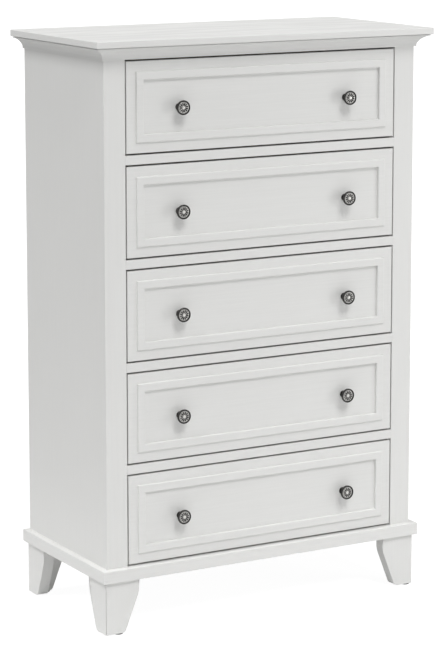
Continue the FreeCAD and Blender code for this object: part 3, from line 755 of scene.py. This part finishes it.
class CHEST_OT_feet(bpy.types.Operator):
    """The four bracket feet, each of two tapered boards mitred at the corner, and their glides"""

    bl_idname = "chest.feet"
    bl_label = "Feet"

    def execute(self, context):
        sizes = context.scene.chest_sizes
        for name in FEET:
            low, high = box_of(f"foot_{name}")
            board = foot_board(sizes, high[2] - low[2])
            along, depth, up = np.moveaxis(board, 2, 0)
            x_out = low[0] if "left" in name else high[0]
            y_out = low[1] if "front" in name else high[1]
            x_in = 1 if "left" in name else -1
            y_in = 1 if "front" in name else -1
            facing = np.stack([x_out + x_in * along, y_out + y_in * depth, low[2] + up], 2)
            beside = np.stack([x_out + x_in * depth, y_out + y_in * along, low[2] + up], 2)
            for label, ring in (("face", facing), ("side", beside)):
                piece, paint = f"bracket_{name}_{label}", finish_of("paint_z")
                replaced = [f"foot_{name}"]
                thing = add_piece(piece, skin(ring), "case", "white_paint", paint, replaced, 0)
                soften(thing, sizes.foot_ease)
        paint_nodes(["foot_glides"], finish_of("plastic"))
        return {"FINISHED"}


# The drawers


class CHEST_OT_drawer_fronts(bpy.types.Operator):
    """The five drawer fronts: a margin, a raised band with rounded edges and a sunk centre panel"""

    bl_idname = "chest.drawer_fronts"
    bl_label = "Drawer fronts"

    def execute(self, context):
        sizes = context.scene.chest_sizes
        face_y = box_of("stile_left")[0][1]
        margin, width = sizes.band_margin, sizes.band_width
        rise, sunk = sizes.band_rise, -sizes.panel_recess
        inner = margin + width
        for number in DRAWERS:
            low, high = box_of(f"drawer_{number}_front")
            back = face_y - high[1]
            deep = inner + FRONT_CORE
            corners = [
                (deep, back),
                (0, back),
                (0, 0),
                (margin, 0),
                (margin, rise),
                (inner, rise),
                (inner, sunk),
                (deep, sunk),
            ]
            ease, ovolo, nook = sizes.front_ease, sizes.band_ease, sizes.band_nook
            section = rounded(corners, [0, nook, ease, nook, ovolo, ovolo, nook, 0], 9)
            flat = rectangle_rings(low[[0, 2]], high[[0, 2]], section[:, 0])
            depth = np.broadcast_to((face_y - section[:, 1])[:, None], flat.shape[:2])
            rings = np.stack([flat[..., 0], depth, flat[..., 1]], 2)
            add_piece(
                f"front_{number}",
                skin(rings),
                f"drawer_{number}",
                "white_paint",
                finish_of("paint_x"),
                [f"drawer_{number}_front"],
                CRISP_MOULDED,
            )
        return {"FINISHED"}


class CHEST_OT_drawer_boxes(bpy.types.Operator):
    """Finishes of the drawer boxes and of their runners, which are shown as they are"""

    bl_idname = "chest.drawer_boxes"
    bl_label = "Drawer boxes"

    def execute(self, context):
        sizes = context.scene.chest_sizes
        for number in DRAWERS:
            name = f"drawer_{number}"
            paint_nodes([f"{name}_side_left", f"{name}_side_right"], finish_of("wood_y"))
            paint_nodes([f"{name}_back", f"{name}_bottom"], finish_of("wood_x"))
            for part in ("side_left", "side_right", "back"):
                soften(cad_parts[f"{name}_{part}"], sizes.board_ease)
            paint_nodes([f"{name}_runners"], finish_of("steel"))
        return {"FINISHED"}


def knob(sizes, x, seat, z):
    """A turned knob: points, faces, and a number for each point: high where it is worn bright, low in the
    tarnished hollows and on the rim, where it paints shade.

    The section gives a radius r for each distance s out from the seat, and the point at angle t is
    (x + r cos t, seat - s, z + r sin t). From the neck to the head r grows with u^2.1, u running
    from 0 to 1 on the way. On the face v runs from 0 at the button to 1 at the rim. There a ring
    sin(pi v)^0.7 meets n hollows exp(-((v - 0.44) / 0.22)^2) * (0.5 - 0.5 cos(n t))^1.2. A lobe is
    ring * (1 - hollow), and the face stands out by dish * (0.85 lobe - 0.6 hollow). The number for a
    point is the plain section's, plus 0.62 lobe, less 1.5 hollow.
    """
    radius, reach, neck = sizes.knob_width / 2, sizes.knob_reach, sizes.knob_neck / 2
    foot, foot_thick = sizes.knob_foot / 2, sizes.knob_foot_thick
    inner, button, floor = radius - sizes.knob_rim, sizes.knob_button / 2, reach - sizes.knob_dish
    under, tuck = 0.55, 0.985  # where the flare ends: share of the head's thickness and radius
    head = reach - sizes.knob_head * under
    nook, rim_ease, rim_nook, boss_rise = 0.0004, 0.0011, 0.0006, 0.0011

    corners = [(0, PIN), (0, foot), (foot_thick, foot), (foot_thick, neck + nook)]
    base = rounded(corners, [0, 0.0003, rim_ease, 0], 5)
    way = np.linspace(0, 1, 16)
    along = foot_thick + (head - foot_thick) * way
    flare = np.stack([along, neck + (radius * tuck - neck) * way**2.1], 1)
    top = [(head, radius), (reach, radius), (reach, inner), (floor, inner - PIN)]
    radii = [0, 0.0012, rim_ease, rim_nook, PIN, 0]
    rim = rounded([(head, neck), *top, (floor, button)], radii, 6)[1:-1]
    inward = np.linspace(1, 0, 20)
    dish = np.stack([np.full(20, floor), button + (inner - rim_nook - button) * inward], 1)
    boss = np.array([(0.0, 1.0), (0.35, 0.97), (0.7, 0.86), (0.9, 0.68), (0.98, 0.4), (1.0, 0.06)])
    boss = boss * [boss_rise, button] + [floor, 0]
    section = np.concatenate([base, flare, rim, dish, boss])

    before, after = np.zeros(len(base) + len(flare) + len(rim)), np.zeros(len(boss))
    ring = np.concatenate([before, np.sin(math.pi * inward) ** 0.7, after])
    dent = np.concatenate([before, np.exp(-(((inward - 0.44) / 0.22) ** 2)), after])
    turn = np.linspace(0, 2 * math.pi, KNOB_POINTS, endpoint=False)
    hollow = dent[:, None] * (0.5 - 0.5 * np.cos(sizes.knob_hollows * turn)[None]) ** 1.2
    lobe = ring[:, None] * (1 - hollow)
    out = section[:, 0][:, None] + (lobe * 0.85 - hollow * 0.6) * sizes.knob_dish
    wide = np.broadcast_to(section[:, 1][:, None], out.shape)
    rings = np.stack([x + wide * np.cos(turn), seat - out, z + wide * np.sin(turn)], 2)
    points, faces = skin(rings)

    # How worn each part of the section is: low on the rim, which paints shade on it; darker towards the foot
    # on the flare and towards the button in the dish; high on the button, worn bright
    plain = np.concatenate(
        [
            np.full(len(base), 0.05),
            0.02 + 0.14 * way**3,
            np.linspace(0.07, 0.0, len(rim)),
            0.22 * inward**2,
            np.array([0.05, 0.3, 0.6, 0.8, 0.9, 0.9]),
        ]
    )
    # Lobes worn bright, tarnish in the hollows, and the section's painted shade on the rim
    wear = plain[:, None] + lobe * 0.62 - hollow * 1.5
    return points, faces, wear.ravel()


def screw(sizes, x, low_y, high_y, z):
    """A knob's screw: a thin shank and a domed head with a cross cut into it.

    The section runs from the shank's blunt end to the middle of the head. A point of the head lies
    its share of the thickness under the crown, and CROSS_DEPTH deeper where r is within the cross's
    arms and the smaller of |x| and |z| is under their half width.
    """
    radius, shank = sizes.screw_head / 2, sizes.screw_shank / 2
    thick, blunt = sizes.screw_head_thick, 0.0003
    turn = np.linspace(0, 2 * math.pi, SCREW_POINTS, endpoint=False)
    shaft = np.array([0.3 * shank, shank, shank, radius * 0.94])
    along = np.array([low_y, low_y + blunt, high_y - thick, high_y - thick])
    wide = np.concatenate([shaft, HEAD_RADII * radius])[:, None]
    flat = np.stack([wide * np.cos(turn), wide * np.sin(turn)], 2)
    narrow = np.minimum(np.abs(flat[..., 0]), np.abs(flat[..., 1]))
    crown = np.arange(len(wide))[:, None] > len(shaft)
    cross = crown & (wide < radius * CROSS_ARM) & (narrow < radius * CROSS_HALF)
    depth = np.concatenate([along, high_y - thick * HEAD_DEPTHS])[:, None] - CROSS_DEPTH * cross
    return skin(np.stack([x + flat[..., 0], depth, z + flat[..., 1]], 2))


class CHEST_OT_knobs(bpy.types.Operator):
    """Two cast knobs on each drawer, with a ring of hollows round a button, and their screws"""

    bl_idname = "chest.knobs"
    bl_label = "Knobs"

    def execute(self, context):
        sizes = context.scene.chest_sizes
        seat = box_of("stile_left")[0][1] + sizes.panel_recess
        pewter, steel = finish_of("pewter"), finish_of("steel")
        for number in DRAWERS:
            low, high = box_of(f"drawer_{number}_front")
            head_y = box_of(f"drawer_{number}_knobs")[1][1]
            middle = (low + high) / 2
            z = middle[2] - sizes.knob_drop
            across = [middle[0] + side * sizes.knob_spacing / 2 for side in (-1, 1)]
            made = [knob(sizes, x, seat, z) for x in across]
            # worn carries each knob's painted shade on its rim, as well as its tarnish and its bright lobes
            wear = np.concatenate([worn for _, _, worn in made])
            shape = joined([(points, faces) for points, faces, _ in made])
            name, body, node = f"knobs_{number}", f"drawer_{number}", [f"drawer_{number}_knobs"]
            add_piece(name, shape, body, "dark_pewter", pewter, node, CRISP_CAST, wear=wear)
            bite_y = seat - sizes.screw_bite
            screws = joined([screw(sizes, x, bite_y, head_y, z) for x in across])
            name = f"knob_screws_{number}"
            add_piece(name, screws, body, "runner_steel", steel, node, CRISP_TURNED)
        return {"FINISHED"}


# The studio


def turned_to(x, y, z):
    """The turn that points a light's back along (x, y, z), so that it shines the other way."""
    return math.atan2(math.hypot(x, y), z), 0, math.atan2(x, -y)


def add_sun(name, direction, strength, softness):
    """A far soft light; direction points from the chest to it, softness is its angle in degrees."""
    lamp = bpy.data.lights.new(name, "SUN")
    lamp.energy = strength * math.pi
    lamp.angle = math.radians(softness)
    thing = bpy.data.objects.new(name, lamp)
    thing.rotation_euler = turned_to(*direction)
    bpy.context.scene.collection.objects.link(thing)


def add_panel(name, place, aim, strength, wide, tall):
    """A soft light panel at a place near the chest, turned to face the point aim."""
    lamp = bpy.data.lights.new(name, "AREA")
    lamp.shape = "RECTANGLE"
    lamp.size = wide
    lamp.size_y = tall
    lamp.energy = strength
    thing = bpy.data.objects.new(name, lamp)
    thing.location = place
    thing.rotation_euler = turned_to(*np.subtract(place, aim))
    thing.visible_camera = False
    bpy.context.scene.collection.objects.link(thing)


def add_floor(name, half, shade, glow, seen):
    """A flat square floor, seen by the camera alone, or else only throwing light back."""
    mesh = bpy.data.meshes.new(name)
    points = [(-half, -half, 0), (half, -half, 0), (half, half, 0), (-half, half, 0)]
    mesh.from_pydata(points, [], [(0, 1, 2, 3)])
    recipe = Recipe(name)
    mottle = recipe.cloud((0.8, 0.8, 0.8))
    base = recipe.blend(mottle, (shade,) * 3, (min(1.0, shade * 1.02),) * 3)
    fixed = {
        "Emission_Color": (1, 1, 1, 1),
        "Emission_Strength": glow,
        "Specular_IOR_Level": 0.0,
    }
    roughness = 0.9 + mottle * 0.05
    mesh.materials.append(recipe.finish(base, roughness, mottle, depth=0.0001, **fixed))
    thing = bpy.data.objects.new(name, mesh)
    bpy.context.scene.collection.objects.link(thing)
    thing.visible_camera = seen
    thing.visible_diffuse = not seen
    thing.visible_glossy = not seen
    thing.visible_shadow = False


def add_room(studio):
    """A white room whose light differs by direction (x, y, z), seen by the camera as plain white.

    Above the horizon it goes from `walls` to `sky` with z, but low at the back, where z is under
    0.4, it goes to `backdrop` with 3 y. Below the horizon it goes from `below` to `below_front`
    with -y.
    """
    world = bpy.data.worlds.new("white_room")
    world.use_nodes = True
    recipe = Recipe(world)
    way = recipe.node("ShaderNodeTexCoord", {}, {}, "Generated")
    y = recipe.node("ShaderNodeSeparateXYZ", {}, {0: way}, "Y")
    z = recipe.node("ShaderNodeSeparateXYZ", {}, {0: way}, "Z")
    low = studio.below + (y * -1).clipped() * (studio.below_front - studio.below)
    high = studio.walls + z.clipped() * (studio.sky - studio.walls)
    back = (y * 3).clipped() * z.math("LESS_THAN", z, 0.4)
    high = high + back * (studio.backdrop - high)
    over = z.math("GREATER_THAN", z, 0.0)
    light = low * (1 - over) + high * over
    seen = recipe.node("ShaderNodeLightPath", {}, {}, "Is Camera Ray")
    strength = light * (1 - seen) + seen
    room = recipe.node("ShaderNodeBackground", {}, {"Color": (1, 1, 1, 1), "Strength": strength})
    recipe.node("ShaderNodeOutputWorld", {}, {"Surface": room})
    return world


class CHEST_OT_studio(bpy.types.Operator):
    """A pale floor, a white room, three soft lights and the camera"""

    bl_idname = "chest.studio"
    bl_label = "Studio"

    def execute(self, context):
        scene = context.scene
        studio = scene.chest_studio
        scene.view_settings.view_transform = "Standard"
        scene.view_settings.look = "None"
        scene.world = add_room(studio)
        add_floor("floor", FLOOR_HALF, FLOOR_SHADE, FLOOR_GLOW, seen=True)
        add_floor("floor_bounce", BOUNCE_HALF, studio.ground, 0.0, seen=False)
        add_sun("main_light", MAIN_FROM, studio.main, SUN_SOFTNESS)
        add_sun("fill_light", FILL_FROM, studio.fill, SUN_SOFTNESS)
        add_panel("side_light", SIDE_PLACE, SIDE_AIM, studio.side, SIDE_WIDE, SIDE_TALL)
        lens = bpy.data.cameras.new("camera")
        lens.lens = studio.lens
        lens.sensor_width = 36.0
        lens.shift_y = studio.shift
        lens.clip_end = 200.0
        camera = bpy.data.objects.new("camera", lens)
        camera.location = studio.camera_place
        camera.rotation_euler = (math.pi / 2 - studio.camera_tilt, 0, -studio.camera_turn)
        scene.collection.objects.link(camera)
        scene.camera = camera
        return {"FINISHED"}


# The panel that lists the steps, and the run


class CHEST_PT_steps(bpy.types.Panel):
    """Lists the pieces of the chest in the order in which they are made"""

    bl_idname = "CHEST_PT_steps"
    bl_label = "Tall chest"
    bl_space_type = "VIEW_3D"
    bl_region_type = "UI"
    bl_category = "Chest"

    def draw(self, context):
        for step in STEPS:
            self.layout.operator(step.bl_idname)


GROUPS = {
    "chest_sizes": ChestSizes,
    "chest_finish": ChestFinish,
    "chest_studio": ChestStudio,
}
STEPS = (
    CHEST_OT_top,
    CHEST_OT_cornice,
    CHEST_OT_case,
    CHEST_OT_plinth,
    CHEST_OT_feet,
    CHEST_OT_drawer_fronts,
    CHEST_OT_drawer_boxes,
    CHEST_OT_knobs,
    CHEST_OT_studio,
)
CLASSES = (*GROUPS.values(), *STEPS, CHEST_PT_steps)


def register():
    """Registers the classes and hangs the three property groups on the scene."""
    for group in CLASSES:
        bpy.utils.register_class(group)
    for name, group in GROUPS.items():
        setattr(bpy.types.Scene, name, PointerProperty(type=group))


def unregister():
    """Takes back what register did."""
    for name in GROUPS:
        delattr(bpy.types.Scene, name)
    for group in reversed(CLASSES):
        bpy.utils.unregister_class(group)


def main():
    """Makes the whole chest and its studio."""
    register()
    bpy.ops.chest.top()
    bpy.ops.chest.cornice()
    bpy.ops.chest.case()
    bpy.ops.chest.plinth()
    bpy.ops.chest.feet()
    bpy.ops.chest.drawer_fronts()
    bpy.ops.chest.drawer_boxes()
    bpy.ops.chest.knobs()
    bpy.ops.chest.studio()
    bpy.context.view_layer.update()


if __name__ == "__main__":
    main()
